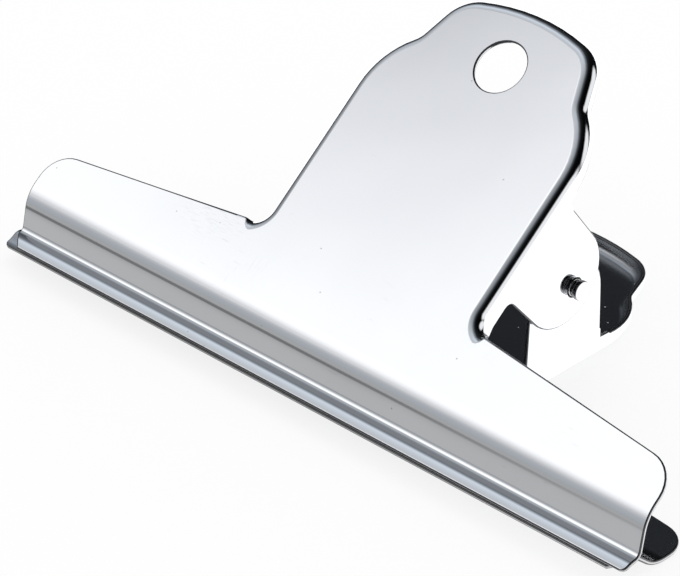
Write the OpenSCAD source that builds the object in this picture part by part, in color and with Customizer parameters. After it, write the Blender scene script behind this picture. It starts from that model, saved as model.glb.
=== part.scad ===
// Bulldog clip, lying on the flat handle of its back plate with its jaws closed.
// X runs along the jaws, +Y from the lips to the handles, +Z up. The origin is on the floor, under the middle
// of the clip. A plate is drawn with its outer face down on Z = 0 and its bends rising from it.

/* [Sheet and jaws] */
// Thickness of the spring steel sheet
sheet_t = 0.8; // [0.6:0.1:1.2]
// Length of the jaws
jaw_l = 145; // [110:5:180]
// Slope of the shoulders from the handle down to the jaw's ends, degrees
shoulder_a = 6.3; // [4:0.5:9]
// Rounding of the jaw's upper corners
jaw_corner_r = 6; // [3:0.5:10]
// Flat part of the jaw, from its upper corner line to the bend
jaw_flat = 6.7; // [4:0.5:12]
// Radius of the jaw's bend, on its outer face
jaw_bend_r = 7.3; // [4:0.5:12]
// Turn of the jaw's bend, degrees
jaw_bend_a = 40; // [30:1:50]
// Radius of the groove above the lip, on its outer face
groove_r = 1.2; // [0.8:0.1:2]
// Height of the crowned lip, along its outer face
lip_h = 3; // [2.2:0.1:6]
// Lean of the lip's root and of its edge, either way from the middle plane, degrees
lip_crown_a = 17; // [8:1:24]
// Length taken off one end of the lip by a slanting cut
lip_cut = 2.6; // [1:0.1:3]
// Rounding of the other end of the lip
lip_end_r = 1.2; // [0.5:0.1:2]

/* [Handle] */
// Width of the handle over its rolled sides
handle_w = 49.6; // [40:0.2:60]
// Length of the handle, from the jaw's corner line to the top of its head
handle_l = 59.5; // [56:0.2:70]
// Fillet between the handle's side and the shoulder
root_r = 3.5; // [2.5:0.5:6]
// Height of the straight sides
cheek_v = 35; // [34:0.5:38]
// Radius of the side's upper round
cheek_r = 16.2; // [12:0.1:17.5]
// Lean of the side at the end of that round, degrees
cheek_a = 47; // [40:1:52]
// Radius of the hollow under the head
neck_r = 3.8; // [3:0.1:6]
// Lean of the head's side, degrees
neck_a = 20; // [12:1:28]
// Radius of the head's corners
head_corner_r = 8.2; // [5:0.1:9]
// Lean of the head at the end of its corners, degrees
crown_a = 75; // [70:1:82]
// Outer radius of the rolled rim
rim_r = 2.3; // [1.5:0.1:3]
// Depth of the rim beside the jaw
rim_d = 4.9; // [4:0.1:6]
// Depth of the rim round the head
head_rim_d = 3.2; // [3.1:0.1:4]
// Diameter of the hanging hole
hang_d = 9.8; // [6:0.2:12]
// Height of the hanging hole
hang_v = 48; // [46:0.5:49]

/* [Ears] */
// Lower edge of the ear, above the jaw's corner line
ear_low_v = 13.1; // [12:0.1:15]
// Upper edge of the ear, above the jaw's corner line
ear_high_v = 32.4; // [30:0.1:33]
// Depth of the ear's lobe below the outer face
ear_d = 23.8; // [22:0.2:26]
// Radius of the ear's lobe
ear_lobe_r = 9.3; // [8:0.1:9.5]
// Round between the ear's lower edge and the rim
relief_r = 1.4; // [0.8:0.1:2]
// Gap between neighbouring ears
ear_gap = 0.7; // [0.4:0.1:1.2]

/* [Pivot pin] */
// Height of the pin above the jaw's corner line
pin_v = 23.2; // [21:0.2:25]
// Depth of the pin below the outer face
pin_d = 18.6; // [18:0.1:19.4]
// Diameter of the pin's shaft
shaft_d = 3.2; // [2.6:0.1:4]
// Running clearance round the shaft, on the radius
bore_play = 0.06; // [0.02:0.01:0.1]
// Length of the shaft that stands out of the outer ear
shaft_out = 0.1; // [0.05:0.05:0.3]
// Diameter of the neck between the shaft and the end head
neck_d = 2.9; // [2.2:0.1:3.1]
// Length of the neck
neck_l = 0.8; // [0.5:0.1:2]
// Diameter of the end head, which is wider than the bore
end_d = 3.6; // [3.5:0.1:4.6]
// Length of the end head
end_l = 0.9; // [0.6:0.1:2]
// Bevel round the end head
end_bevel = 0.25; // [0.1:0.05:0.4]

/* [Spring] */
// Diameter of the spring wire
wire_d = 2; // [1.6:0.1:2.4]
// Radius of the coil at the middle of the wire
coil_r = 3.7; // [3.4:0.1:5]
// Whole turns of the coil
coil_turns = 8; // [5:1:9]
// Gap between turns
coil_gap = 0.6; // [0.5:0.1:1]
// Lean of each leg against its handle, degrees
leg_a = 45; // [38:1:55]
// Bend between the leg and its foot
leg_bend_r = 4; // [3:0.5:6]
// Length of the foot that lies along the handle
foot_l = 7; // [4:0.5:10]
// Gap between the foot and the handle
foot_gap = 0.15; // [0.1:0.05:0.3]

/* [Closed clip] */
// Lean of each plate from the middle plane with the jaws closed, degrees
half_a = 19.5; // [17:0.5:22]
// Gap between the closed lips
lip_gap = 0.1; // [0.05:0.05:0.3]

/* [Hidden] */
$fn = 64;
over = 1;
RAD = 180 / PI;
half_jaw = jaw_l / 2;
side_u = handle_w / 2;

// Jaw section. The straight between the bend and the groove is as long as it takes to bring the lip to the
// middle plane, which runs through the pin and leans half_a from the plate. The groove turns on past that
// plane's slope by the lean of the lip's root, and the lip's round turns back by twice as much.
function reach(v, d) = (pin_d - d) * cos(half_a) + (v - pin_v) * sin(half_a);
function go(p, len, a) = [p.x - len * cos(a), p.y + len * sin(a)];
function bend(p, r, a, b) = [p.x - r * abs(sin(b) - sin(a)), p.y + r * abs(cos(a) - cos(b))];
function groove(p, r, a, b) = [p.x - r * (sin(a) - sin(b)), p.y + r * (cos(b) - cos(a))];
bend_end = bend([-jaw_flat, 0], jaw_bend_r, 0, jaw_bend_a);
groove_step = groove([0, 0], groove_r, jaw_bend_a, -half_a);
spare = reach(bend_end.x + groove_step.x, bend_end.y + groove_step.y) - sheet_t - lip_gap / 2;
jaw_straight = spare / sin(jaw_bend_a + half_a);
groove_start = go(bend_end, jaw_straight, jaw_bend_a);
lip_from = -half_a - lip_crown_a;
lip_root = groove(groove_start, groove_r, jaw_bend_a, lip_from);
lip_r = lip_h * RAD / (2 * lip_crown_a);
bend_steps = 10;
groove_steps = 8;
lip_steps = 8;
function jaw_face(off) = concat(
    [for (i = [0:bend_steps]) let (a = jaw_bend_a * i / bend_steps)
        [-jaw_flat - (jaw_bend_r - off) * sin(a), jaw_bend_r - (jaw_bend_r - off) * cos(a)]],
    [for (i = [0:groove_steps]) let (a = jaw_bend_a + (lip_from - jaw_bend_a) * i / groove_steps,
            c = groove_start - groove_r * [sin(jaw_bend_a), cos(jaw_bend_a)])
        c + (groove_r + off) * [sin(a), cos(a)]],
    [for (i = [1:lip_steps]) let (a = lip_from + 2 * lip_crown_a * i / lip_steps)
        lip_root + lip_r * [sin(lip_from), cos(lip_from)] - (lip_r - off) * [sin(a), cos(a)]]);

// Plan outline. A heading is measured from +Y towards -X, and a path turns left where the plate is convex.
shoulder_turn = 90 - shoulder_a;
root_v = tan(shoulder_a) * (half_jaw - side_u);
root_reach = root_r * tan(shoulder_turn / 2);
function shoulder(u) = tan(shoulder_a) * (half_jaw - u);
start_u = side_u + root_reach * cos(shoulder_a);

// The head's side is straight for as long as its height and width ask.
lean_u = cheek_r * (1 - cos(cheek_a)) + neck_r * (cos(neck_a) - cos(cheek_a))
    + head_corner_r * (cos(neck_a) - cos(crown_a));
lean_v = cheek_r * sin(cheek_a) + neck_r * (sin(cheek_a) - sin(neck_a))
    + head_corner_r * (sin(crown_a) - sin(neck_a));
crown_share = (1 - sin(crown_a)) / cos(crown_a);
head_l = (handle_l - cheek_v - lean_v - (side_u - lean_u) * crown_share)
    / (cos(neck_a) - sin(neck_a) * crown_share);
crown_r = (side_u - lean_u - head_l * sin(neck_a)) / cos(crown_a);
side_v = root_v + root_reach;

// Each run of the right half: its length, its heading at its start, its turn and its number of steps.
function arc_run(r, from, to, steps) = [r * abs(to - from) / RAD, from, to - from, steps];
runs = [
    arc_run(root_r, shoulder_turn, 0, 16),
    [ear_low_v - relief_r - side_v, 0, 0, 3],
    [relief_r, 0, 0, 1],
    [ear_high_v - ear_low_v, 0, 0, 1],
    [cheek_v - ear_high_v, 0, 0, 1],
    arc_run(cheek_r, 0, cheek_a, 8),
    arc_run(neck_r, cheek_a, neck_a, 5),
    [head_l, neck_a, 0, 2],
    arc_run(head_corner_r, neck_a, crown_a, 8),
    arc_run(crown_r, crown_a, 90, 4)];
function run_point(run, p, share) = let (h = run[1], t = run[2] * share)
    t == 0 ? p + run[0] * share * [-sin(h), cos(h)]
           : p + run[0] * RAD / run[2] * [cos(h + t) - cos(h), sin(h + t) - sin(h)];
function stations(p, s, i) = let (run = runs[i], last = i == len(runs) - 1)
    concat([for (k = [0:run[3] - (last ? 0 : 1)]) let (share = k / run[3])
            [run_point(run, p, share), run[1] + run[2] * share, s + run[0] * share]],
        last ? [] : stations(run_point(run, p, 1), s + run[0], i + 1));
half_path = stations([start_u, shoulder(start_u)], 0, 0);
half_count = len(half_path);
path = concat(half_path, [for (i = [1:half_count - 1]) let (s = half_path[half_count - 1 - i])
    [[-s[0].x, s[0].y], 180 - s[1], s[2]]]);

// The rim's strip starts narrow at the shoulder, and has its whole width at the end of the root fillet. It is
// rolled as far as its width lets it, down to a straight edge that is always left.
roll_l = rim_r * 90 / RAD;
wide_s = runs[0][0];
ear_start = wide_s + runs[1][0] + relief_r;
cheek_end = ear_start + runs[3][0] + runs[4][0] + runs[5][0];
edge_l = sheet_t / 3;
start_l = sheet_t / 2;
function ease(x) = let (c = min(1, max(0, x))) c * c * (3 - 2 * c);
function strip_l(s) = let (left = 1 - min(1, s / wide_s))
    start_l + (roll_l + rim_d - rim_r - start_l) * (1 - pow(left, 3))
    - (rim_d - head_rim_d) * ease((s - ear_start) / (cheek_end - ear_start));
function rolled_l(s) = min(roll_l, strip_l(s) - edge_l);
roll_steps = 6;
function rim_turn(s) = rolled_l(s) * RAD / rim_r;
function rim_out(s) = let (t = rim_turn(s)) rim_r * sin(t) + (strip_l(s) - rolled_l(s)) * cos(t);
function rim_strip(s, off) = let (end = rim_turn(s), r = rim_r - off) concat(
    [for (i = [0:roll_steps]) let (t = end * i / roll_steps) [r * sin(t), rim_r - r * cos(t)]],
    [[r * sin(end), rim_r - r * cos(end)] + (strip_l(s) - rolled_l(s)) * [cos(end), sin(end)]]);
strip_count = roll_steps + 2;
ring_count = 2 * strip_count;
function rim_ring(st) = let (p = st[0], n = [cos(st[1]), sin(st[1])], s = st[2], outer = rim_strip(s, 0),
        inner = rim_strip(s, sheet_t))
    [for (i = [0:ring_count - 1]) let (q = i < strip_count ? outer[i] : inner[ring_count - 1 - i],
            at = p + (q.x - rim_out(s)) * n)
        [at.x, at.y, q.y]];

// The strip grows faster than the fillet rises, so the roll's foot first runs down the web, to this station.
root_foot = [for (i = [0:runs[0][3]]) rim_ring(half_path[i])[0].y];
low = len([for (i = [1:runs[0][3]]) if (root_foot[i] < root_foot[i - 1]) i]);

// Corner of the jaw in plan, and the half length of each row of its section. The lip is cut on a slant at its
// +X end and rounded at its -X end.
corner_turn = 90 - shoulder_a;
corner_c = [half_jaw - jaw_corner_r, -jaw_corner_r * tan(corner_turn / 2)];
corner_steps = 8;
corner = [for (i = [0:corner_steps]) let (a = 90 - shoulder_a - corner_turn * i / corner_steps)
    corner_c + jaw_corner_r * [cos(a), sin(a)]];
jaw_out = jaw_face(0);
jaw_in = jaw_face(sheet_t);
row_count = len(jaw_out);
function lip_round(x) = lip_end_r - sqrt(lip_end_r * lip_end_r - x * x);
function row_half(j, side) = let (share = max(0, 1 - (row_count - 1 - j) / lip_steps))
    half_jaw - (side > 0 ? lip_cut * share : lip_round(max(0, lip_h * (share - 1) + lip_end_r)));

// The sheet as one closed skin: the rings of the rim from shoulder to shoulder round the head, the corners
// and the rows of the jaw on each side, and a flat web outside and inside, laid in strips from side to side.
module sheet() {
    n = len(path);
    last = ring_count - 1;
    edge_count = len(corner);
    function ring_at(side, i, k) = (side == 0 ? i : n - 1 - i) * ring_count + k;
    function edge_at(side, e, b) = n * ring_count + 2 * (side * edge_count + e) + b;
    function row_at(j, side, b) = n * ring_count + 4 * (edge_count + j) + 2 * side + b;
    points = concat([for (st = path) each rim_ring(st)],
        [for (side = [1, -1], q = corner) each [[side * q.x, q.y, 0], [side * q.x, q.y, sheet_t]]],
        [for (j = [0:row_count - 1], side = [1, -1]) let (h = side * row_half(j, side))
            each [[h, jaw_out[j].x, jaw_out[j].y], [h, jaw_in[j].x, jaw_in[j].y]]]);
    rim = [for (i = [0:n - 2], k = [0:last - 1]) let (a = i * ring_count + k, b = a + ring_count)
        each [[a, a + 1, b], [a + 1, b + 1, b]]];
    function flank(side, b) = let (at = function (k) ring_at(side, 0, b == 0 ? k : last - k))
        concat([for (i = [0:1:low - 1]) let (k = b == 0 ? 0 : last)
                [ring_at(side, i + 1, k), row_at(0, side, b), ring_at(side, i, k)]],
            [[at(0), row_at(0, side, b), edge_at(side, edge_count - 1, b)]],
            [for (e = [0:edge_count - 2]) [at(0), edge_at(side, e + 1, b), edge_at(side, e, b)]],
            [for (k = [0:strip_count - 2]) [edge_at(side, 0, b), at(k + 1), at(k)]]);
    function web(b) = let (roll = b == 0 ? 0 : last) concat(
        [[ring_at(0, low, roll), ring_at(1, low, roll), row_at(0, 1, b), row_at(0, 0, b)]],
        [for (i = [low:half_count - 3])
            [ring_at(0, i, roll), ring_at(0, i + 1, roll), ring_at(1, i + 1, roll), ring_at(1, i, roll)]],
        [let (k = half_count - 2) [ring_at(0, k, roll), ring_at(0, k + 1, roll), ring_at(1, k, roll)]],
        flank(0, b), flip(flank(1, b)));
    function border(side) = concat([[ring_at(side, 0, strip_count - 1), ring_at(side, 0, strip_count)]],
        [for (e = [0:edge_count - 1]) [edge_at(side, e, 0), edge_at(side, e, 1)]],
        [for (j = [0:row_count - 1]) [row_at(j, side, 0), row_at(j, side, 1)]]);
    function border_skin(side) = let (pairs = border(side))
        [for (i = [0:len(pairs) - 2]) [pairs[i][0], pairs[i + 1][0], pairs[i + 1][1], pairs[i][1]]];
    rows = [for (j = [0:row_count - 2], b = [0, 1])
        let (row = [row_at(j, 0, b), row_at(j, 1, b), row_at(j + 1, 1, b), row_at(j + 1, 0, b)])
        b == 0 ? row : reverse(row)];
    end = row_count - 1;
    lip = [row_at(end, 0, 0), row_at(end, 1, 0), row_at(end, 1, 1), row_at(end, 0, 1)];
    polyhedron(points, concat(rim, web(0), flip(web(1)), border_skin(0), flip(border_skin(1)), rows, [lip]));
}
function flip(faces) = [for (f = faces) reverse(f)];
function reverse(list) = [for (i = [len(list) - 1:-1:0]) list[i]];

// Ear: a lobe hung from the rim, with its sides drawn in to the lobe's round and its lower edge relieved.
lobe_c = [(ear_low_v + ear_high_v) / 2, ear_d - ear_lobe_r];
lobe_steps = 20;
relief_steps = 6;
module ear() {
    lobe = [for (i = [0:lobe_steps]) let (a = 180 * i / lobe_steps) lobe_c + ear_lobe_r * [cos(a), sin(a)]];
    relief = [for (i = [0:relief_steps]) let (a = -90 * i / relief_steps)
        [ear_low_v - relief_r, rim_d + relief_r] + relief_r * [cos(a), sin(a)]];
    translate([side_u, 0, 0]) rotate([90, 0, -90]) mirror([1, 0, 0]) linear_extrude(sheet_t)
        polygon(concat([[ear_high_v, rim_r]], lobe, relief, [[ear_low_v - relief_r, rim_r]]));
}

// One stamping, outer face down: both plates are made from it.
bore_d = shaft_d + 2 * bore_play;
module stamping() {
    difference() {
        union() {
            sheet();
            ear();
            mirror([1, 0, 0]) ear();
        }
        translate([0, hang_v, -over]) cylinder(d = hang_d, h = sheet_t + 2 * over);
        translate([0, pin_v, pin_d]) rotate([0, 90, 0])
            cylinder(d = bore_d, h = handle_w + 2 * over, center = true);
    }
}

// Place of the clip: the back plate flat on the floor, the front one turned over to face it across the middle
// plane, and each slid sideways by half a sheet and half a gap, so that the ears lie beside each other.
slide = (sheet_t + ear_gap) / 2;
function across(p) = let (q = p - [pin_v, pin_d], c = cos(2 * half_a), s = sin(2 * half_a))
    [pin_v, pin_d] + [q.x * c + q.y * s, q.x * s - q.y * c];
front_y = min([for (p = [jaw_out[row_count - 1], jaw_in[row_count - 1]]) each [p.x, across(p).x]]);
middle_y = (handle_l + front_y) / 2;
module placed() translate([0, -middle_y, 0]) children();
module at_pin() placed() translate([0, pin_v, pin_d]) children();

module back_plate() color([0.86, 0.88, 0.9]) placed() translate([-slide, 0, 0]) stamping();

module front_plate() color([0.9, 0.91, 0.93])
    at_pin() mirror([0, -sin(half_a), cos(half_a)]) mirror([1, 0, 0])
        translate([-slide, -pin_v, -pin_d]) stamping();

// Pin: a plain shaft through the ears, and outside them a neck and a bevelled end head on each end.
neck_x = side_u + slide + shaft_out;
end_x = neck_x + neck_l;
tip_x = end_x + end_l;
module pivot_pin() color([0.72, 0.74, 0.77]) at_pin() rotate([0, 90, 0]) rotate_extrude() polygon(concat(
    [for (side = [-1, 1]) each let (half = [
            [tip_x, 0], [tip_x, end_d / 2 - end_bevel], [tip_x - end_bevel, end_d / 2],
            [end_x, end_d / 2], [end_x, neck_d / 2], [neck_x, neck_d / 2], [neck_x, shaft_d / 2]])
        [for (p = side < 0 ? half : reverse(half)) [p.y, side * p.x]]]));

// Spring: one wire with a foot, a leg, the coil round the pin, and a leg and foot again. Directions are
// angles in the plane square to the pin, from the middle plane's +Y towards +Z.
coil_pitch = wire_d + coil_gap;
leg_lean = half_a + leg_a;
coil_angle = 360 * coil_turns + 360 - 2 * (90 + leg_lean);
coil_x = coil_pitch * coil_angle / 720;
foot_reach = pin_d - sheet_t - foot_gap - wire_d / 2;
leg_l = (foot_reach - coil_r * cos(leg_a) - leg_bend_r * (1 - cos(leg_a))) / sin(leg_a);
leg_steps = 4;
foot_steps = 3;
ring_step = 45;
wire_sides = 6;
function dir(a) = [cos(a), sin(a)];
function side_leg(sign) = let (lean = sign * leg_lean, root = coil_r * dir(lean + sign * 90),
        knee = root + leg_l * dir(lean), c = knee + leg_bend_r * dir(lean - sign * 90),
        ankle = c + leg_bend_r * dir(lean - sign * leg_a + sign * 90))
    [for (q = concat([root + leg_l / 2 * dir(lean), root + (leg_l - wire_d) * dir(lean)],
            [for (i = [0:leg_steps]) c + leg_bend_r * dir(lean + sign * 90 - sign * leg_a * i / leg_steps)],
            [for (i = [1:foot_steps]) ankle + foot_l * i / foot_steps * dir(sign * half_a)]))
        [sign * coil_x, q.x, q.y]];
coil_rings = ceil(coil_angle / ring_step);
coil_line = [for (i = [0:coil_rings]) let (share = i / coil_rings,
        a = -(90 + leg_lean) - coil_angle * share)
    [coil_x * (2 * share - 1), coil_r * cos(a), coil_r * sin(a)]];
wire_line = concat(reverse(side_leg(-1)), coil_line, side_leg(1));
wire_gap = min([for (i = [0:coil_rings - 5], j = [i + 5:coil_rings]) norm(coil_line[i] - coil_line[j])])
    - wire_d;
echo(str("least gap between turns of the wire: ", wire_gap, " mm"));
module tube(line, d, sides) {
    n = len(line);
    points = [for (i = [0:n - 1]) let (p = line[i], t = line[min(n - 1, i + 1)] - line[max(0, i - 1)],
            w = t / norm(t), across_w = cross(w, [1, 0, 0]), v = across_w / norm(across_w), u = cross(v, w))
        each [for (k = [0:sides - 1]) p + d / 2 * (cos(360 * k / sides) * u + sin(360 * k / sides) * v)]];
    skin = [for (i = [0:n - 2], k = [0:sides - 1]) let (a = i * sides + k, b = i * sides + (k + 1) % sides)
        each [[a, a + sides, b], [b, a + sides, b + sides]]];
    first = [for (k = [1:sides - 2]) [0, k, k + 1]];
    final = [for (k = [1:sides - 2]) [(n - 1) * sides, (n - 1) * sides + k + 1, (n - 1) * sides + k]];
    polyhedron(points, concat(skin, first, final));
}
module torsion_spring() color([0.55, 0.57, 0.6])
    at_pin() rotate([half_a, 0, 0]) tube(wire_line, wire_d, wire_sides);

front_plate();
back_plate();
pivot_pin();
torsion_spring();
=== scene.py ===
"""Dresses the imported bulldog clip: plated sheets, a headed pin, a wound spring, and a plain white stage."""

import math
from collections import Counter

import bmesh
import bpy
from bpy.props import FloatProperty, FloatVectorProperty, IntProperty, PointerProperty
from bpy.types import Operator, Panel, PropertyGroup
from mathutils import Matrix, Vector


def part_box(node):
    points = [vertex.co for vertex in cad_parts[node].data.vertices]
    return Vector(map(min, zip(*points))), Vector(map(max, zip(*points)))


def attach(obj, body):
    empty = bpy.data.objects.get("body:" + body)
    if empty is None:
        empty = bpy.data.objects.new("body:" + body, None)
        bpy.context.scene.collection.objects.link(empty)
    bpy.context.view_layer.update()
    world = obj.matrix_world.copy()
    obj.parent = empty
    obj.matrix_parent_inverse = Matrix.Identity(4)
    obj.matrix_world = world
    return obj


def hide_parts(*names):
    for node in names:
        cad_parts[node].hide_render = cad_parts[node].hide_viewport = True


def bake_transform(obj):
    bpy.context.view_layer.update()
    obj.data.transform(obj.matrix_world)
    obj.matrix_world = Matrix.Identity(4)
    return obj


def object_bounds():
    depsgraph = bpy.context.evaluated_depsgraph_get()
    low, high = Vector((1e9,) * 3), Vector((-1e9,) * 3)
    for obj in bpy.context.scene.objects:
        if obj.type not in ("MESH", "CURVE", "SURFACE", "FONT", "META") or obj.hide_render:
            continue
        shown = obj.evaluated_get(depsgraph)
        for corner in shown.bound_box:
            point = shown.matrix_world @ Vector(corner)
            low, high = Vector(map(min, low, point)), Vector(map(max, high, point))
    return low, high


bl_info = {
    "name": "Bulldog Clip Dresser",
    "version": (1, 0, 0),
    "blender": (4, 5, 0),
    "location": "3D View > Sidebar > Clip",
    "description": "Builds the finished surfaces of a wide bulldog clip round its packed solids",
    "category": "Object",
}

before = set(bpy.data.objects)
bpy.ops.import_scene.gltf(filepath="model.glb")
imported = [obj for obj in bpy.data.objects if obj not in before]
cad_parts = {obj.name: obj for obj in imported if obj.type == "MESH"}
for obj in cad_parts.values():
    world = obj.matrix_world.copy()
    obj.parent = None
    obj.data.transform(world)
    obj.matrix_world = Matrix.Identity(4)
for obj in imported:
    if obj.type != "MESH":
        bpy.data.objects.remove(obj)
CAD_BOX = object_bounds()
PIN_LOW, PIN_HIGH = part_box("pivot_pin")
PIN_CENTRE = (PIN_LOW + PIN_HIGH) / 2
SPRING_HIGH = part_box("torsion_spring")[1]
# The back plate's outer face looks straight down, and the front plate leans from it by twice the half angle.
FRONT_LEAN = math.radians(39)
OUTWARD = {"back_plate": Vector((0, 0, -1)),
           "front_plate": Vector((0, -math.sin(FRONT_LEAN), math.cos(FRONT_LEAN)))}
# Order of a plate's finishes. The rounded one is painted shade, and the inner one is partly painted shade.
OUTER, INNER, CUT, ROUNDED = range(4)
# Points nearer than this become one, in the sheet, in the turned pin and in the wound wire.
SHEET_MERGE, PIN_MERGE, WIRE_MERGE = 2e-6, 1e-6, 1e-7
ROUND_SHARP = math.radians(50)
CORNER_STEPS = 3
KNEE_STEPS = 8
# A face of the pin that looks along it at least this much belongs to an end; the other faces take the sides'
# darker colour, which is painted shade.
END_FACING = 0.9


# Settings

def length(name, description, default):
    return FloatProperty(name=name, description=description, default=default, min=0, unit="LENGTH",
                         precision=5)


def angle(name, description, default):
    return FloatProperty(name=name, description=description, default=math.radians(default), subtype="ANGLE")


def share(name, description, default):
    return FloatProperty(name=name, description=description, default=default, min=0, max=1, subtype="FACTOR")


def count(name, description, default, least):
    return IntProperty(name=name, description=description, default=default, min=least)


def colour(name, description, default):
    return FloatVectorProperty(name=name, description=description, default=default, size=3, min=0, max=2,
                               subtype="COLOR")


def point(name, description, default):
    return FloatVectorProperty(name=name, description=description, default=default, size=3, unit="LENGTH",
                               precision=5)


def direction(name, description, default):
    return FloatVectorProperty(name=name, description=description, default=default, size=3,
                               subtype="DIRECTION")


class ClipPlateSettings(PropertyGroup):
    edge_round: length("Edge round", "Radius worn on the sheet's cut edges", 0.00027)
    edge_segments: count("Edge segments", "Faces across a rounded edge", 3, 1)
    crowd_l: length("Crowded length", "Cut edges under this stay sharp where three or more meet", 0.0016)
    hold_off: length("Hold off", "How far the rounding ends before a place that stays sharp", 0.002)
    sharp_angle: angle("Sharp angle", "Turn past which an edge is a cut edge of the sheet", 50)
    flat_angle: angle("Flat angle", "Turn under which two faces are one flat", 0.2)
    gloss: share("Roughness", "Roughness of the bright plating", 0.09)
    wave: length("Sheet wave", "Depth of the slow waves in the sheet", 0.00004)
    face_colour: colour("Face colour", "Bright nickel on the outer faces", (0.82, 0.835, 0.86))
    # The inner faces are darker than the outer ones: duller plating, and painted shade between the plates.
    inner_dull_and_shade_colour: colour("Inner colour", "Thin, dull plating on the inner faces", (0.46, 0.475, 0.5))
    edge_colour: colour("Cut edge colour", "Plating on the sheared edges of the sheet", (0.66, 0.665, 0.68))
    # Painted shade: the rounds beside the cut edges are coloured nearly black, standing in for dark
    # reflections along the sheet's edges.
    edge_round_shade_colour: colour("Edge round colour", "Thin plating on the rounds beside the cut edges",
                        (0.12, 0.12, 0.125))
    # The groove's strip is painted shade: the face colour darkened along the foot of the front lip's groove.
    # The rub marks are wear and share this darker colour.
    worn_and_shade_share: share("Worn shade", "Share of brightness that is left in the groove and the rub", 0.45)
    groove_line: point("Groove line", "A point of the foot of the front lip's groove", (0, -0.0367, 0.0056))
    groove_shade_reach: length("Groove reach", "How far the dull strip reaches from the groove's foot", 0.0011)
    rub_place: point("Rubbed place", "Middle of the rub marks on the front jaw", (-0.0345, -0.0205, 0.0225))
    rub_reach: length("Rub reach", "How far the rub marks reach", 0.011)


class ClipPinSettings(PropertyGroup):
    shaft_r: length("Shaft radius", "Radius of the plain shaft between the necks", 0.0016)
    neck_r: length("Neck radius", "Radius between the shaft and an end head", 0.00145)
    neck_l: length("Neck length", "Length of each neck", 0.0008)
    end_r: length("End radius", "Radius of the end heads", 0.0018)
    end_l: length("End length", "Length of each end head", 0.0009)
    corner_r: length("Corner round", "Rounding of the turned corners", 0.00016)
    steps: count("Steps", "Faces round the pin", 72, 12)
    pin_colour: colour("End colour", "Bright faces of the pin's ends", (0.74, 0.74, 0.745))
    # Painted shade: the pin's sides are coloured much darker than its ends.
    side_shade_colour: colour("Side colour", "Dull steel of the pin's sides", (0.22, 0.22, 0.225))


class ClipSpringSettings(PropertyGroup):
    wire_r: length("Wire radius", "Radius of the spring wire", 0.001)
    coil_r: length("Coil radius", "Radius of the coil at the middle of the wire", 0.0037)
    turns: count("Turns", "Whole turns of the coil", 8, 1)
    half_angle: angle("Half angle", "Lean of each plate from the middle plane", 19.5)
    leg_angle: angle("Leg angle", "Lean of each leg against its handle", 45)
    knee_r: length("Knee radius", "Bend between a leg and its foot", 0.004)
    foot_l: length("Foot length", "Length of the foot that lies along the handle", 0.007)
    foot_gap: length("Foot gap", "Gap between the foot and the handle's sheet", 0.00095)
    wire_sides: count("Wire sides", "Faces round the wire", 20, 8)
    ring_steps: count("Ring steps", "Rings in one turn of the coil", 32, 8)
    wire_colour: colour("Wire colour", "Drawn spring steel", (0.5, 0.5, 0.51))


class ClipStageSettings(PropertyGroup):
    lens: FloatProperty(name="Lens", description="Focal length in mm on a 36 mm sensor", default=215.451,
                        unit="CAMERA")
    camera_place: point("Camera place", "Where the camera stands", (0.404205, -0.448063, 0.377386))
    camera_turn: FloatVectorProperty(
        name="Camera turn", description="The camera's turn", size=3, subtype="EULER",
        default=[math.radians(turn) for turn in (58.56115, -0.26323, 44.04527)])
    floor_size: length("Floor size", "Side of the square floor", 6.0)
    box_toward: direction("Soft box", "Direction of the middle of the soft box", (-0.508, -0.609, 0.609))
    worn_toward: direction("Weak spot", "Direction of the box's weakest light", (-0.6087, -0.2937, 0.737))
    card_toward: direction("White card", "Direction of the card behind on the right", (0.62, 0.72, 0.31))
    lamp_place: point("Lamp place", "Where the overhead lamp hangs", (0.1, 0.3, 1.2))
    lamp_size: length("Lamp size", "Side of the overhead lamp", 0.8)
    lamp_power: FloatProperty(name="Lamp power", description="Power of the overhead lamp", default=2.0,
                              unit="POWER")
    white: colour("White", "White of the floor and of what stands behind", (1, 1, 1))


# Shader building

def new_node(tree, kind, at=(0, 0), **values):
    made = tree.nodes.new(kind)
    made.location = at
    for key, value in values.items():
        setattr(made, key, value)
    return made


def plug(tree, source, target):
    """Links a socket to an input, or writes a plain value on it."""
    if isinstance(source, bpy.types.NodeSocket):
        tree.links.new(source, target)
    else:
        target.default_value = source


def fill(made, **values):
    """Writes plain values on a node's inputs; an underscore stands for a space in an input's name."""
    for key, value in values.items():
        made.inputs[key.replace("_", " ")].default_value = value
    return made


def calc(tree, at, operation, *values):
    """A Math node on sockets or plain numbers."""
    made = new_node(tree, "ShaderNodeMath", at, operation=operation)
    for value, target in zip(values, made.inputs):
        plug(tree, value, target)
    return made.outputs["Value"]


def dot(tree, at, vector, toward):
    """The dot product of a vector socket and a fixed direction."""
    made = new_node(tree, "ShaderNodeVectorMath", at, operation="DOT_PRODUCT")
    plug(tree, vector, made.inputs[0])
    made.inputs[1].default_value = toward
    return made.outputs["Value"]


def fit_range(tree, at, value, low, high, to_low=0.0, to_high=1.0):
    """Turns low to high into to_low to to_high, and goes past neither."""
    made = fill(new_node(tree, "ShaderNodeMapRange", at), From_Min=low, From_Max=high, To_Min=to_low,
                To_Max=to_high)
    plug(tree, value, made.inputs["Value"])
    return made.outputs["Result"]


def mix_colours(tree, at, factor, first, second, blend_type="MIX"):
    """A colour mix of sockets or plain colours."""
    made = new_node(tree, "ShaderNodeMix", at, data_type="RGBA", blend_type=blend_type)
    plug(tree, factor, made.inputs["Factor"])
    for name, value in (("A", first), ("B", second)):
        plug(tree, value if isinstance(value, bpy.types.NodeSocket) else (*value, 1), made.inputs[name])
    return made.outputs["Result"]


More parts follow.
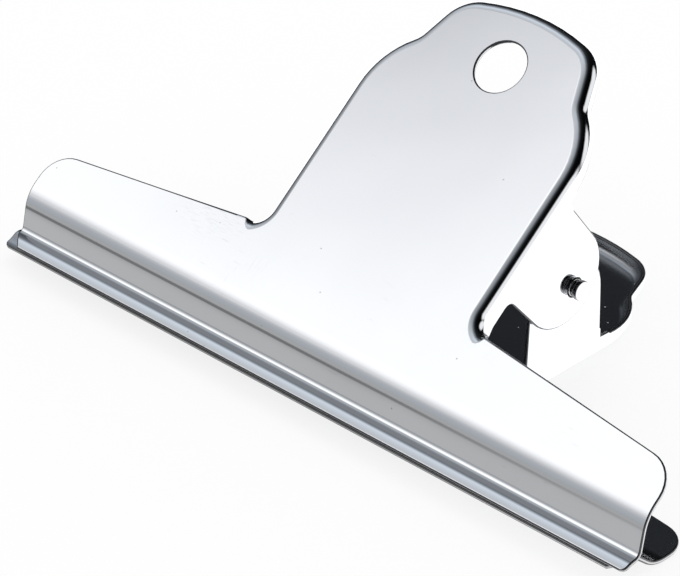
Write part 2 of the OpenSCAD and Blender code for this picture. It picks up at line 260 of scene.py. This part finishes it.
def mix_shaders(tree, at, factor, first, second):
    made = new_node(tree, "ShaderNodeMixShader", at)
    for value, target in zip((factor, first, second), made.inputs):
        plug(tree, value, target)
    return made.outputs["Shader"]


def add_noise(tree, at, vector, scale, detail):
    made = new_node(tree, "ShaderNodeTexNoise", at)
    plug(tree, vector, made.inputs["Vector"])
    plug(tree, scale, made.inputs["Scale"])
    plug(tree, detail, made.inputs["Detail"])
    return made.outputs["Fac"]


def add_mapping(tree, at, vector, turn, stretch):
    made = fill(new_node(tree, "ShaderNodeMapping", at), Rotation=turn, Scale=stretch)
    plug(tree, vector, made.inputs["Vector"])
    return made.outputs["Vector"]


def add_ramp(tree, at, value, levels):
    """A colour ramp with a stop for each (place, colour)."""
    ramp = new_node(tree, "ShaderNodeValToRGB", at)
    stops = ramp.color_ramp.elements
    while len(stops) < len(levels):
        stops.new(0.5)
    for stop, (place, level) in zip(stops, levels):
        stop.position = place
        stop.color = (*level, 1)
    plug(tree, value, ramp.inputs["Fac"])
    return ramp.outputs["Color"]


def split_axes(tree, at, vector):
    made = new_node(tree, "ShaderNodeSeparateXYZ", at)
    plug(tree, vector, made.inputs["Vector"])
    return made.outputs


def shaded(base, level):
    return [part * level for part in base]


# Shared effects

# Turn of each lay of rub marks, and how its noise is drawn out. A cut is the stretch of the noise over which
# a mark comes up.
HAIRLINE_LAYS = ((0.35, (260, 7600, 260)), (-0.9, (9200, 210, 210)))
HAIRLINE_CUT = (0.70, 0.78)
PATCH_SCALE = 55.0
PATCH_CUT = (0.5, 0.68)
SPECK_SCALE, SPECK_SIZE = 420.0, 0.06
# Cells with a random shade under this stay without a speck.
SPECK_SHADE = 0.86
MOTTLE = {"Scale": 38.0, "Detail": 4.0}
SHEET_WAVES = {"Scale": 45.0, "Detail": 1.0}


def new_effect(name, **values):
    """A node group that turns a place on the piece, and the given values, into a mask."""
    tree = bpy.data.node_groups.new(name, "ShaderNodeTree")
    tree.interface.new_socket(name="Vector", in_out="INPUT", socket_type="NodeSocketVector")
    for label, value in values.items():
        socket = tree.interface.new_socket(name=label, in_out="INPUT", socket_type="NodeSocketFloat")
        socket.default_value = value
    tree.interface.new_socket(name="Mask", in_out="OUTPUT", socket_type="NodeSocketFloat")
    start = new_node(tree, "NodeGroupInput", (-1200, 0)).outputs
    return tree, start, new_node(tree, "NodeGroupOutput", (600, 0)).inputs["Mask"]


def use_effect(tree, name, at, vector, **values):
    made = fill(new_node(tree, "ShaderNodeGroup", at, node_tree=bpy.data.node_groups[name]), **values)
    plug(tree, vector, made.inputs["Vector"])
    return made.outputs["Mask"]


def build_hairlines():
    """Fine straight rub marks: long thin noise laid in two directions, broken up by a wide noise."""
    tree, start, mask = new_effect("Hairlines", Density=0.5)
    lays = []
    for turn, stretch in HAIRLINE_LAYS:
        laid = add_mapping(tree, (-900, 300 * turn), start["Vector"], (turn, turn * 0.4, turn), stretch)
        lines = add_noise(tree, (-650, 300 * turn), laid, 1.0, 1.0)
        lays.append(fit_range(tree, (-400, 300 * turn), lines, *HAIRLINE_CUT))
    patches = add_noise(tree, (-650, -400), start["Vector"], PATCH_SCALE, 2.0)
    patches = fit_range(tree, (-400, -400), patches, *PATCH_CUT)
    both = calc(tree, (-150, 0), "MAXIMUM", *lays)
    spread = calc(tree, (0, -100), "MULTIPLY", both, patches)
    plug(tree, calc(tree, (200, 0), "MULTIPLY", spread, start["Density"]), mask)


def build_specks():
    """Small specks in about one cell of seven: pin holes in bright plating, or dust on dull plating."""
    tree, start, mask = new_effect("Specks", Scale=SPECK_SCALE, Size=SPECK_SIZE)
    cells = new_node(tree, "ShaderNodeTexVoronoi", (-800, 0))
    plug(tree, start["Vector"], cells.inputs["Vector"])
    plug(tree, start["Scale"], cells.inputs["Scale"])
    near = calc(tree, (-550, 100), "LESS_THAN", cells.outputs["Distance"], start["Size"])
    pick = new_node(tree, "ShaderNodeSeparateColor", (-550, -150))
    plug(tree, cells.outputs["Color"], pick.inputs["Color"])
    few = calc(tree, (-300, -150), "GREATER_THAN", pick.outputs["Red"], SPECK_SHADE)
    plug(tree, calc(tree, (0, 0), "MULTIPLY", near, few), mask)


def build_clouds():
    """Soft clouds: they mottle the plating, and ones without fine detail lay the slow waves of the sheet."""
    tree, start, mask = new_effect("Clouds", **MOTTLE)
    plug(tree, add_noise(tree, (-400, 0), start["Vector"], start["Scale"], start["Detail"]), mask)


def build_effects():
    """Builds the shared effects once, whichever operator comes first."""
    if "Hairlines" not in bpy.data.node_groups:
        build_hairlines()
        build_specks()
        build_clouds()


# Finishes

# Share of the base colour that is left in a rub mark, and what the mark adds to the roughness.
RUB_SHADE = 0.85
SCUFF_ROUGHNESS = 0.25
SCRATCH_DEPTH = 0.00001
SCRATCH_STRENGTH = 0.25
# The middle part of the clouds sets the roughness, between these shares of the plain one.
CLOUD_RANGE = (0.3, 0.7)
LEAST_ROUGH, MOST_ROUGH = 0.8, 1.25
# Within this share of its reach the painted shade in the groove is at full strength, and a worn place is worn
# in full.
GROOVE_SHADE_CORE, RUB_CORE = 0.5, 0.2
STREAK_TURN = (0.0, 0.0, 0.5)
STREAK_STRETCH = (500, 4200, 4200)
STREAK_CUT = (0.5, 0.75)
STREAK_STRENGTH = 0.35


def metal(name, base, roughness, wave=0.0, hairlines=0.0, specks=0.0, speck_colour=(0.1, 0.1, 0.1),
          speck_scale=SPECK_SCALE, speck_size=SPECK_SIZE, dusty=False, mottle=0.0):
    """A plated or drawn steel: a plain metal with its own rub marks, specks and slow waves of the sheet."""
    made = bpy.data.materials.new(name)
    made.use_nodes = True
    tree = made.node_tree
    tree.nodes.clear()
    steel = fill(new_node(tree, "ShaderNodeBsdfPrincipled", (400, 0)), Metallic=1.0)
    out = new_node(tree, "ShaderNodeOutputMaterial", (700, 0))
    plug(tree, steel.outputs["BSDF"], out.inputs["Surface"])
    where = new_node(tree, "ShaderNodeTexCoord", (-1000, 0)).outputs["Object"]
    lines = use_effect(tree, "Hairlines", (-700, 200), where, Density=hairlines)
    dots = use_effect(tree, "Specks", (-700, 0), where, Scale=speck_scale, Size=speck_size)
    cloud = use_effect(tree, "Clouds", (-700, -250), where, **MOTTLE)
    slow = use_effect(tree, "Clouds", (-700, -500), where, **SHEET_WAVES)

    tint = mix_colours(tree, (-350, 250), cloud, base, shaded(base, 1 - mottle))
    rubbed = mix_colours(tree, (-200, 400), lines, tint, shaded(base, RUB_SHADE))
    specked = calc(tree, (-350, 50), "MULTIPLY", dots, specks)
    plug(tree, mix_colours(tree, (-50, 250), specked, rubbed, speck_colour), steel.inputs["Base Color"])
    if dusty:
        plug(tree, calc(tree, (-50, 100), "SUBTRACT", 1.0, specked), steel.inputs["Metallic"])
    rough = fit_range(tree, (-350, -100), cloud, *CLOUD_RANGE, roughness * LEAST_ROUGH,
                      roughness * MOST_ROUGH)
    scuffed = calc(tree, (-50, -50), "MULTIPLY_ADD", lines, SCUFF_ROUGHNESS, rough)
    plug(tree, scuffed, steel.inputs["Roughness"])

    ripple = fill(new_node(tree, "ShaderNodeBump", (-50, -400)), Strength=1.0, Distance=wave)
    plug(tree, slow, ripple.inputs["Height"])
    scratch = fill(new_node(tree, "ShaderNodeBump", (150, -300)), Strength=SCRATCH_STRENGTH,
                   Distance=-SCRATCH_DEPTH)
    plug(tree, lines, scratch.inputs["Height"])
    plug(tree, ripple.outputs["Normal"], scratch.inputs["Normal"])
    plug(tree, scratch.outputs["Normal"], steel.inputs["Normal"])
    return made


def place_mask(tree, at, where, place, axes, full, reach):
    """A mask of 1 round a place and 0 from its reach on. An axis of 0 makes the place a line along it."""
    flat = new_node(tree, "ShaderNodeVectorMath", (at[0] - 400, at[1]), operation="MULTIPLY")
    plug(tree, where, flat.inputs[0])
    flat.inputs[1].default_value = axes
    gap = new_node(tree, "ShaderNodeVectorMath", (at[0] - 200, at[1]), operation="DISTANCE")
    plug(tree, flat.outputs["Vector"], gap.inputs[0])
    gap.inputs[1].default_value = place
    return fit_range(tree, at, gap.outputs["Value"], full, reach, 1.0, 0.0)


def shade_groove_and_wear_front(tree, settings):
    """Paints shade at the foot of the front lip's groove and lays rub marks on the left of the front jaw."""
    steel = next(node for node in tree.nodes if node.type == "BSDF_PRINCIPLED")
    clean = steel.inputs["Base Color"].links[0].from_socket
    where = new_node(tree, "ShaderNodeTexCoord", (-1000, 1200)).outputs["Object"]
    # One darker face colour is both the painted shade in the groove and the colour of the rub marks.
    dull = shaded(settings.face_colour, settings.worn_and_shade_share)
    groove = place_mask(tree, (-200, 900), where, settings.groove_line, (0, 1, 1),
                        settings.groove_shade_reach * GROOVE_SHADE_CORE, settings.groove_shade_reach)
    groove_shaded = mix_colours(tree, (100, 600), groove, clean, dull)
    rubbed = place_mask(tree, (-200, 1200), where, settings.rub_place, (1, 1, 1),
                        settings.rub_reach * RUB_CORE, settings.rub_reach)
    streaks = add_mapping(tree, (-800, 1500), where, STREAK_TURN, STREAK_STRETCH)
    streaks = add_noise(tree, (-600, 1500), streaks, 1.0, 2.0)
    streaks = fit_range(tree, (-400, 1500), streaks, *STREAK_CUT, 0.0, STREAK_STRENGTH)
    rub = calc(tree, (-100, 1300), "MULTIPLY", streaks, rubbed)
    plug(tree, mix_colours(tree, (250, 700), rub, groove_shaded, dull), steel.inputs["Base Color"])


# Pieces

def finish_piece(bm, name, materials, sharp, body, node):
    """Makes the mesh an object that stands for its solid, and that rides on its body where one is given."""
    mesh = bpy.data.meshes.new(name)
    bm.to_mesh(mesh)
    bm.free()
    mesh.shade_smooth()
    mesh.set_sharp_from_angle(angle=sharp)
    piece = bpy.data.objects.new(name, mesh)
    bpy.context.scene.collection.objects.link(piece)
    for material in materials:
        mesh.materials.append(material)
    if body:
        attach(piece, body)
    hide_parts(node)
    return piece


def edges_in(geom):
    return [part for part in geom if isinstance(part, bmesh.types.BMEdge)]


def spread_from(start, sharp):
    """The faces reached from one face without crossing a sharp edge."""
    seen = {start}
    front = [start]
    while front:
        face = front.pop()
        for edge in face.edges:
            if edge.calc_face_angle(0) < sharp:
                for other in edge.link_faces:
                    if other not in seen:
                        seen.add(other)
                        front.append(other)
    return seen


def weigh_cut_edges(bm, settings):
    """Marks the cut edges for rounding, and holds the rounding off where several meet or turn inwards."""
    weight = bm.edges.layers.float.new("bevel_weight_edge")
    cut = [edge for edge in bm.edges if edge.calc_face_angle(0) > settings.sharp_angle]
    meeting = Counter(vert for edge in cut for vert in edge.verts)
    plain = {edge for edge in cut if not edge.is_convex or
             (edge.calc_length() < settings.crowd_l and max(meeting[vert] for vert in edge.verts) > 2)}
    held = {vert for edge in plain for vert in edge.verts}
    for edge in [edge for edge in cut if edge not in plain]:
        for vert in [vert for vert in edge.verts if vert in held]:
            whole = edge.calc_length()
            if whole < 2 * settings.hold_off:
                break
            cut_off, _ = bmesh.utils.edge_split(edge, vert, settings.hold_off / whole)
            edge = edge if vert in cut_off.verts else cut_off
        else:
            edge[weight] = 1.0


def build_plate(node, body, piece_name, settings, materials):
    """The stamping's own skin with its flats joined, its faces sorted by finish and its cut edges rounded."""
    bm = bmesh.new()
    bm.from_mesh(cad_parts[node].data)
    bmesh.ops.remove_doubles(bm, verts=bm.verts, dist=SHEET_MERGE)
    bmesh.ops.dissolve_limit(bm, angle_limit=settings.flat_angle, verts=bm.verts, edges=bm.edges)
    bm.normal_update()
    sharp = settings.sharp_angle
    outer = max(bm.faces, key=lambda face: face.calc_area() * face.normal.dot(OUTWARD[node]))
    inner = max(bm.faces, key=lambda face: -face.calc_area() * face.normal.dot(OUTWARD[node]))
    for face in bm.faces:
        face.material_index = CUT
    for face in spread_from(inner, sharp):
        face.material_index = INNER
    for face in spread_from(outer, sharp):
        face.material_index = OUTER
    weigh_cut_edges(bm, settings)
    piece = finish_piece(bm, piece_name, materials, sharp, body, node)
    bevel = piece.modifiers.new("Cut edges", "BEVEL")
    bevel.width = settings.edge_round
    bevel.segments = settings.edge_segments
    bevel.limit_method = "WEIGHT"
    bevel.material = ROUNDED
    bevel.use_clamp_overlap = False
    smooth = piece.modifiers.new("Even normals", "WEIGHTED_NORMAL")
    smooth.keep_sharp = True


class CLIP_OT_build_plates(Operator):
    """Builds both stamped plates with their plated finishes"""
    bl_idname = "clip.build_plates"
    bl_label = "Plates"

    def execute(self, context):
        build_effects()
        settings = context.scene.clip_plates
        face = metal("Bright nickel", settings.face_colour, settings.gloss, wave=settings.wave, hairlines=0.5,
                     specks=0.5, mottle=0.03)
        # Inner faces: duller plating with painted shade between the plates in the same darker colour.
        inner_dull_and_shaded = metal("Dull inner nickel, shaded", settings.inner_dull_and_shade_colour, 0.22, wave=settings.wave, hairlines=0.6,
                       specks=0.8, speck_colour=(0.8, 0.8, 0.8), speck_scale=800.0, speck_size=0.11,
                       dusty=True, mottle=0.3)
        edge = metal("Sheared edge", settings.edge_colour, 0.25, hairlines=0.8, mottle=0.1)
        # The edge rounds get a nearly black colour: painted shade along the sheet's edges.
        edge_round_shade = metal("Edge round", settings.edge_round_shade_colour, 0.3)
        # Paints shade into the front face's groove, and lays the rub marks.
        shade_groove_and_wear_front(face.node_tree, settings)
        for node, body in (("back_plate", "back"), ("front_plate", "front")):
            build_plate(node, body, node + "_sheet", settings, [face, inner_dull_and_shaded, edge, edge_round_shade])
        return {"FINISHED"}


class CLIP_OT_build_pin(Operator):
    """Turns the pin with its necks and end heads"""
    bl_idname = "clip.build_pin"
    bl_label = "Pin"

    def execute(self, context):
        build_effects()
        settings = context.scene.clip_pin
        # The sides' dark colour is painted shade; the ends keep the bright steel.
        side = metal("Turned pin side, painted shade", settings.side_shade_colour, 0.2, hairlines=0.5, mottle=0.15)
        steel = metal("Pin end", settings.pin_colour, 0.16, hairlines=0.5, mottle=0.15)
        tip = (PIN_HIGH.x - PIN_LOW.x) / 2
        head = tip - settings.end_l
        neck = head - settings.neck_l
        half = [(neck, settings.shaft_r), (neck, settings.neck_r), (head, settings.neck_r),
                (head, settings.end_r), (tip, settings.end_r), (tip, 0)]
        outline = [(-x, r) for x, r in reversed(half)] + half
        bm = bmesh.new()
        corners = [bm.verts.new(PIN_CENTRE + Vector((x, 0, r))) for x, r in outline]
        for corner, following in zip(corners, corners[1:]):
            bm.edges.new((corner, following))
        bmesh.ops.bevel(bm, geom=corners[1:-1], offset=settings.corner_r, offset_type="OFFSET",
                        segments=CORNER_STEPS, profile=0.5, affect="VERTICES", material=-1)
        bmesh.ops.spin(bm, geom=bm.verts[:] + bm.edges[:], cent=PIN_CENTRE, axis=(1, 0, 0), angle=math.tau,
                       steps=settings.steps, use_merge=True)
        bmesh.ops.remove_doubles(bm, verts=bm.verts, dist=PIN_MERGE)
        bmesh.ops.recalc_face_normals(bm, faces=bm.faces)
        bm.normal_update()
        for face in bm.faces:
            face.material_index = 1 if abs(face.normal.x) > END_FACING else 0
        finish_piece(bm, "pivot_pin_turned", [side, steel], ROUND_SHARP, "back", "pivot_pin")
        return {"FINISHED"}


class CLIP_OT_build_spring(Operator):
    """Winds the spring from round wire, with a straight leg, a knee and a foot at each end"""
    bl_idname = "clip.build_spring"
    bl_label = "Spring"

    def execute(self, context):
        build_effects()
        spring = context.scene.clip_spring
        steel = metal("Spring wire", spring.wire_colour, 0.3, hairlines=0.8, mottle=0.25)
        coil_x = SPRING_HIGH.x - spring.wire_r
        lean = spring.half_angle + spring.leg_angle
        sweep = math.tau * spring.turns + math.tau - 2 * (math.pi / 2 + lean)
        steps = round(sweep / math.tau * spring.ring_steps)
        first = spring.half_angle - (math.pi / 2 + lean)
        bm = bmesh.new()
        ring = bmesh.ops.create_circle(bm, segments=spring.wire_sides, radius=spring.wire_r)["verts"]
        bmesh.ops.translate(bm, verts=ring, vec=(0, spring.coil_r, 0))
        bmesh.ops.rotate(bm, verts=ring, cent=(0, 0, 0), matrix=Matrix.Rotation(first, 3, "X"))
        bmesh.ops.translate(bm, verts=ring, vec=PIN_CENTRE + Vector((-coil_x, 0, 0)))
        opening = bm.edges[:]
        wound = bmesh.ops.spin(bm, geom=ring + opening, cent=PIN_CENTRE, axis=(1, 0, 0), angle=-sweep,
                               steps=steps, dvec=(2 * coil_x / steps, 0, 0))["geom_last"]
        ends = [(-1, opening), (1, edges_in(wound))]
        foot_depth = PIN_CENTRE.z - spring.wire_r - spring.foot_gap
        knee_drop = spring.knee_r * (1 - math.cos(spring.leg_angle))
        leg_depth = foot_depth - spring.coil_r * math.cos(spring.leg_angle) - knee_drop
        leg_l = leg_depth / math.sin(spring.leg_angle)
        for side, edges in ends:
            heading = spring.half_angle + side * lean
            run = self.toward(heading)
            edges = self.extend(bm, edges, run * leg_l)
            turn_from = Vector((side * coil_x, 0, 0)) + PIN_CENTRE
            root = turn_from + spring.coil_r * self.toward(heading + side * math.pi / 2)
            knee = root + run * leg_l + spring.knee_r * self.toward(heading - side * math.pi / 2)
            verts = list({vert for edge in edges for vert in edge.verts})
            bent = bmesh.ops.spin(bm, geom=verts + edges, cent=knee, axis=(1, 0, 0),
                                  angle=-side * spring.leg_angle, steps=KNEE_STEPS)["geom_last"]
            foot = self.toward(heading - side * spring.leg_angle) * spring.foot_l
            edges = self.extend(bm, edges_in(bent), foot)
            bmesh.ops.contextual_create(bm, geom=edges)
        bmesh.ops.remove_doubles(bm, verts=bm.verts, dist=WIRE_MERGE)
        bmesh.ops.recalc_face_normals(bm, faces=bm.faces)
        piece = finish_piece(bm, "torsion_spring_wound", [steel], ROUND_SHARP, None, "torsion_spring")
        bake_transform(piece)
        return {"FINISHED"}

    @staticmethod
    def toward(heading):
        """The direction of a heading in the plane across the pin."""
        return Vector((0, math.cos(heading), math.sin(heading)))

    @staticmethod
    def extend(bm, edges, step):
        """Draws the open end of the wire on along one straight step."""
        made = bmesh.ops.extrude_edge_only(bm, edges=edges)["geom"]
        verts = {part for part in made if isinstance(part, bmesh.types.BMVert)}
        bmesh.ops.translate(bm, verts=list(verts), vec=step)
        return [edge for edge in edges_in(made) if verts.issuperset(edge.verts)]


# Stage

# Light of the soft box, over the cosine of the angle from its middle.
LOBE_LEVELS = [(0.0, (0.01, 0.011, 0.012)), (0.34, (0.045, 0.048, 0.053)), (0.55, (0.36, 0.39, 0.43)),
               (0.68, (0.76, 0.83, 0.91)), (0.80, (0.66, 0.70, 0.75)), (0.883, (0.60, 0.62, 0.65)),
               (0.93, (0.72, 0.73, 0.75)), (0.945, (1.22, 1.22, 1.23)), (0.98, (1.25, 1.25, 1.25))]
# Light that is left round the weak spot, over closeness to its middle, from 8 degrees off.
WORN_CLOSE = (0.99, 1.0)
WORN_LEVELS = [(0.5, (1.0, 1.0, 1.0)), (0.62, (0.93, 0.93, 0.93)), (0.71, (0.84, 0.84, 0.85)),
               (0.80, (0.80, 0.80, 0.81)), (0.86, (0.73, 0.735, 0.75)), (0.93, (0.66, 0.665, 0.68)),
               (0.96, (0.58, 0.585, 0.60)), (1.0, (0.52, 0.525, 0.54))]
# Light that is left at the foot of the box, over height from the horizon up.
FOOT_LEVELS = [(0.0, (0.62, 0.62, 0.62)), (0.12, (0.74, 0.74, 0.74)), (0.23, (0.85, 0.85, 0.85)),
               (0.285, (0.9, 0.9, 0.9)), (0.325, (0.615, 0.615, 0.615)), (0.34, (0.65, 0.65, 0.65)),
               (0.44, (0.86, 0.86, 0.86)), (0.53, (1.0, 1.0, 1.0))]
# Light that is left from the far left to half way to the right.
LEAN_REACH = (-1.0, 0.5)
LEAN_LEVELS = [(0.027, (0.42, 0.41, 0.40)), (0.113, (0.68, 0.67, 0.66)), (0.2, (1.0, 1.0, 1.0)),
               (0.433, (1.0, 1.0, 1.0)), (0.667, (0.52, 0.52, 0.51)), (0.867, (0.2, 0.2, 0.2)),
               (1.0, (0.1, 0.1, 0.1))]
# Edges of the white card on the right, across and in height, and of the one behind, as a cosine.
SIDE_CARD_ACROSS = (0.84, 0.93)
SIDE_CARD_HEIGHT = (0.5, 0.35)
BACK_CARD_EDGE = (0.92, 0.97)
# The metal's light from the floor fades along a direction, and once more further out in front. Four numbers
# are a stretch of the floor, from and to, and the light at its two ends.
FLOOR_TOWARD = (0.25, 0.97, 0)
FLOOR_FADE = (-0.035, 0.0, 0.42, 1.6)
FLOOR_FRONT = (-0.085, -0.065, 0.72, 1.0)
# The dark strip in front of the clip, over the depth of the floor there, and how it weakens to the right.
STRIP_DEPTH = (-0.16, 0.0)
STRIP_LEVELS = [(0.39, (0, 0, 0)), (0.43, (1, 1, 1)), (0.585, (1, 1, 1)), (0.61, (0, 0, 0))]
STRIP_STRENGTH = (-0.02, 0.05, 1.0, 0.12)
PAPER_COLOUR = (0.9, 0.9, 0.9)
PAPER_GLOW = 0.8
FLOOR_DROP = 0.00002
SENSOR_WIDTH = 36
NEAREST, FARTHEST = 0.01, 20


def build_world(settings):
    """White to the camera and the paper. The metal gets a soft box, a dark room behind it and two cards."""
    world = bpy.data.worlds.new("Soft box")
    bpy.context.scene.world = world
    world.use_nodes = True
    tree = world.node_tree
    tree.nodes.clear()
    where = new_node(tree, "ShaderNodeTexCoord", (-900, 0)).outputs["Generated"]
    axes = split_axes(tree, (-700, -200), where)
    light = add_ramp(tree, (-450, 200), dot(tree, (-700, 100), where, settings.box_toward), LOBE_LEVELS)
    close = fit_range(tree, (-700, 350), dot(tree, (-900, 350), where, settings.worn_toward), *WORN_CLOSE)
    leaning = fit_range(tree, (-300, -250), axes["X"], *LEAN_REACH)
    shades = (add_ramp(tree, (-450, 450), close, WORN_LEVELS),
              add_ramp(tree, (-450, -100), axes["Z"], FOOT_LEVELS),
              add_ramp(tree, (-100, -250), leaning, LEAN_LEVELS))
    for x, shade in zip((-250, -100, 50), shades):
        light = mix_colours(tree, (x, 100), 1.0, light, shade, "MULTIPLY")

    side = fit_range(tree, (-450, -400), axes["X"], *SIDE_CARD_ACROSS)
    low = fit_range(tree, (-450, -650), axes["Z"], *SIDE_CARD_HEIGHT)
    side_card = calc(tree, (-250, -450), "MULTIPLY", side, low)
    back_card = fit_range(tree, (-450, -850), dot(tree, (-700, -850), where, settings.card_toward),
                          *BACK_CARD_EDGE)
    cards = calc(tree, (-100, -550), "MAXIMUM", side_card, back_card)

    tent = new_node(tree, "ShaderNodeBackground", (500, 0))
    plug(tree, mix_colours(tree, (200, 0), cards, light, settings.white), tent.inputs["Color"])
    white = fill(new_node(tree, "ShaderNodeBackground", (500, -150)), Color=(*settings.white, 1))
    seen = new_node(tree, "ShaderNodeLightPath", (300, 400)).outputs
    open_sky = calc(tree, (550, 300), "MAXIMUM", seen["Is Camera Ray"], seen["Is Diffuse Ray"])
    out = new_node(tree, "ShaderNodeOutputWorld", (1100, 0))
    around = mix_shaders(tree, (800, 0), open_sky, tent.outputs[0], white.outputs[0])
    plug(tree, around, out.inputs["Surface"])


def build_paper(settings):
    """White paper that takes the clip's shadow, and shows the metal a greyer front with one dark strip."""
    paper = bpy.data.materials.new("White paper")
    paper.use_nodes = True
    tree = paper.node_tree
    tree.nodes.clear()
    where = new_node(tree, "ShaderNodeTexCoord", (-1000, -200)).outputs["Object"]
    axes = split_axes(tree, (-800, -500), where)
    fade = fit_range(tree, (-600, -200), dot(tree, (-800, -200), where, FLOOR_TOWARD), *FLOOR_FADE)
    front = fit_range(tree, (-600, -450), axes["Y"], *FLOOR_FRONT)
    ground = calc(tree, (-400, -300), "MULTIPLY", fade, front)
    depth = fit_range(tree, (-600, -700), axes["Y"], *STRIP_DEPTH)
    strip = add_ramp(tree, (-400, -700), depth, STRIP_LEVELS)
    strength = fit_range(tree, (-400, -950), axes["X"], *STRIP_STRENGTH)
    laid = calc(tree, (-150, -700), "MULTIPLY", strip, strength)
    striped = mix_colours(tree, (-150, -400), laid, ground, (0, 0, 0))

    seen = new_node(tree, "ShaderNodeLightPath", (-400, 400)).outputs
    glow = new_node(tree, "ShaderNodeEmission", (0, -150))
    lit = mix_colours(tree, (-50, -100), seen["Is Camera Ray"], striped, settings.white)
    plug(tree, lit, glow.inputs["Color"])
    matt = fill(new_node(tree, "ShaderNodeBsdfDiffuse", (0, 0)), Color=(*PAPER_COLOUR, 1))
    bright = calc(tree, (-150, 300), "MAXIMUM", seen["Is Camera Ray"], seen["Is Glossy Ray"])
    part = calc(tree, (50, 300), "MULTIPLY", bright, PAPER_GLOW)
    out = new_node(tree, "ShaderNodeOutputMaterial", (800, 0))
    plug(tree, mix_shaders(tree, (400, 0), part, matt.outputs[0], glow.outputs[0]), out.inputs["Surface"])
    return paper


def build_floor(settings):
    """One square of paper, a hair's breadth under the clip."""
    bm = bmesh.new()
    bmesh.ops.create_grid(bm, x_segments=1, y_segments=1, size=settings.floor_size / 2)
    bmesh.ops.translate(bm, verts=bm.verts, vec=(0, 0, CAD_BOX[0][2] - FLOOR_DROP))
    mesh = bpy.data.meshes.new("Floor")
    bm.to_mesh(mesh)
    bm.free()
    mesh.materials.append(build_paper(settings))
    floor = bpy.data.objects.new("Floor", mesh)
    bpy.context.scene.collection.objects.link(floor)


def hang_lamp(settings):
    data = bpy.data.lights.new("Overhead lamp", "AREA")
    data.shape = "RECTANGLE"
    data.size = settings.lamp_size
    data.size_y = settings.lamp_size
    data.energy = settings.lamp_power
    lamp = bpy.data.objects.new("Overhead lamp", data)
    lamp.location = settings.lamp_place
    lamp.rotation_euler = (-lamp.location).to_track_quat("-Z", "Y").to_euler()
    lamp.visible_glossy = False
    bpy.context.scene.collection.objects.link(lamp)


def place_camera(settings):
    lens = bpy.data.cameras.new("Camera")
    lens.lens = settings.lens
    lens.sensor_fit = "HORIZONTAL"
    lens.sensor_width = SENSOR_WIDTH
    lens.clip_start = NEAREST
    lens.clip_end = FARTHEST
    camera = bpy.data.objects.new("Camera", lens)
    camera.location = settings.camera_place
    camera.rotation_euler = settings.camera_turn
    bpy.context.scene.collection.objects.link(camera)
    bpy.context.scene.camera = camera


class CLIP_OT_build_stage(Operator):
    """Sets up the floor, the light and the camera"""
    bl_idname = "clip.build_stage"
    bl_label = "Stage"

    def execute(self, context):
        settings = context.scene.clip_stage
        context.scene.view_settings.view_transform = "Standard"
        place_camera(settings)
        build_world(settings)
        build_floor(settings)
        hang_lamp(settings)
        return {"FINISHED"}


class CLIP_PT_tools(Panel):
    bl_label = "Clip"
    bl_idname = "CLIP_PT_tools"
    bl_space_type = "VIEW_3D"
    bl_region_type = "UI"
    bl_category = "Clip"

    def draw(self, context):
        for operator in OPERATORS:
            self.layout.operator(operator.bl_idname)
        for group in GROUPS:
            settings = getattr(context.scene, group)
            box = self.layout.box()
            for name in settings.__annotations__:
                box.prop(settings, name)


OPERATORS = (CLIP_OT_build_plates, CLIP_OT_build_pin, CLIP_OT_build_spring, CLIP_OT_build_stage)
GROUPS = {"clip_plates": ClipPlateSettings, "clip_pin": ClipPinSettings, "clip_spring": ClipSpringSettings,
          "clip_stage": ClipStageSettings}


def register():
    for kind in (*GROUPS.values(), *OPERATORS, CLIP_PT_tools):
        bpy.utils.register_class(kind)
    for name, group in GROUPS.items():
        setattr(bpy.types.Scene, name, PointerProperty(type=group))


def unregister():
    for name in GROUPS:
        delattr(bpy.types.Scene, name)
    for kind in (CLIP_PT_tools, *reversed(OPERATORS), *reversed(GROUPS.values())):
        bpy.utils.unregister_class(kind)


def main():
    register()
    bpy.ops.clip.build_plates()
    bpy.ops.clip.build_pin()
    bpy.ops.clip.build_spring()
    bpy.ops.clip.build_stage()


if __name__ == "__main__":
    main()
